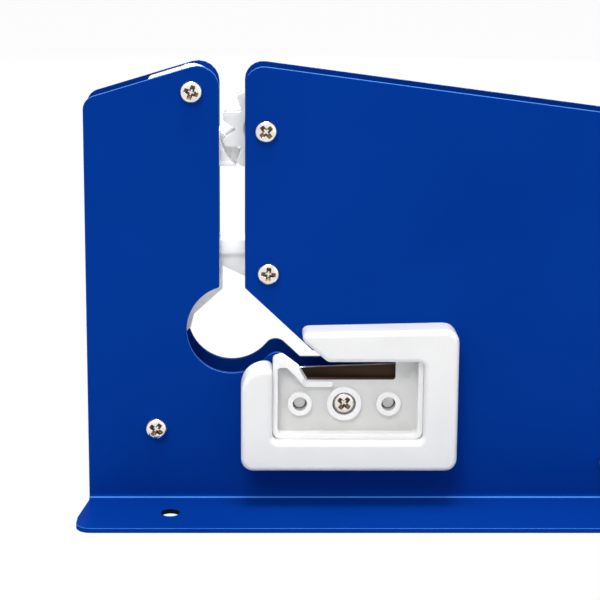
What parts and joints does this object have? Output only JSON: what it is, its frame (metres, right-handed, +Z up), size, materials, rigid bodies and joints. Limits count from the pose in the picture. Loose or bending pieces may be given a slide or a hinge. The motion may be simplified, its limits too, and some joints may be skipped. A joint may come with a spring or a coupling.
{
  "type": "bag neck sealer",
  "caption": "Counter-top bag neck sealer: two folded side plates with slot and round throat, tape wheel, cutter lever, bag trimmer and lift-out tape reel.",
  "frame": {"origin": "middle of the footprint, on the counter", "axes": "+X from the slot end towards the reel end, -Y towards the front plate with the trimmer, +Z up"},
  "size_m": [0.2728, 0.0718, 0.1479],
  "materials": {
    "painted_blue": "smooth satin powder coat",
    "white_plastic": "moulded, satin",
    "pale_plastic": "moulded, slightly translucent",
    "nickel": "bright nickel plate",
    "turned_steel": "turned",
    "spring_steel": "drawn wire",
    "blade_steel": "oiled dark steel",
    "nylon": "plain"
  },
  "bodies": {
    "frame": {"front_plate": "painted_blue", "back_plate": "painted_blue", "trimmer_guard": "white_plastic", "throat_guide": "white_plastic", "blade_holder": "pale_plastic", "front_screws": "nickel", "back_screws": "nickel", "trimmer_screw": "nickel", "trimmer_nut": "nickel", "wheel_bush": "turned_steel", "presser_bush": "turned_steel", "lever_bush": "turned_steel", "lower_spacer": "turned_steel", "rear_spacers": "turned_steel", "posts": "turned_steel", "presser_stop": "turned_steel", "locating_pins": "turned_steel", "presser_spring": "spring_steel", "lever_spring": "spring_steel", "trimmer_blade": "blade_steel"},
    "wheel": {"star_wheel": "white_plastic"},
    "presser": {"presser_arm": "white_plastic", "hook_pin": "turned_steel"},
    "lever": {"cutter_lever": "white_plastic", "tape_knife": "blade_steel", "knife_rivets": "turned_steel"},
    "reel": {"reel_axle": "turned_steel", "reel_washers": "nylon"},
    "hub": {"reel_hub": "white_plastic"}
  },
  "joints": [
    {"name": "star_wheel_spin", "type": "hinge", "parent": "frame", "child": "wheel", "pos_m": [-0.0747, 0, 0.1267], "axis": [0, 1, 0], "continuous": true},
    {"name": "presser_swing", "type": "hinge", "parent": "frame", "child": "presser", "pos_m": [-0.0989, 0, 0.1396], "axis": [0, 1, 0], "range_deg": [0, 20], "stiffness_Nm_per_rad": 0.05, "springref_deg": -20.05, "deforming": ["presser_spring"]},
    {"name": "cutter_swing", "type": "hinge", "parent": "frame", "child": "lever", "pos_m": [-0.0738, 0, 0.0794], "axis": [0, -1, 0], "range_deg": [0, 75], "stiffness_Nm_per_rad": 0.04, "springref_deg": -22.92, "deforming": ["lever_spring"]},
    {"name": "reel_lift", "type": "slide", "parent": "frame", "child": "reel", "axis": [0.4226, 0, 0.9063], "range_m": [0, 0.1]},
    {"name": "hub_spin", "type": "hinge", "parent": "reel", "child": "hub", "pos_m": [0.07, 0, 0.083], "axis": [0, 1, 0], "continuous": true}
  ]
}
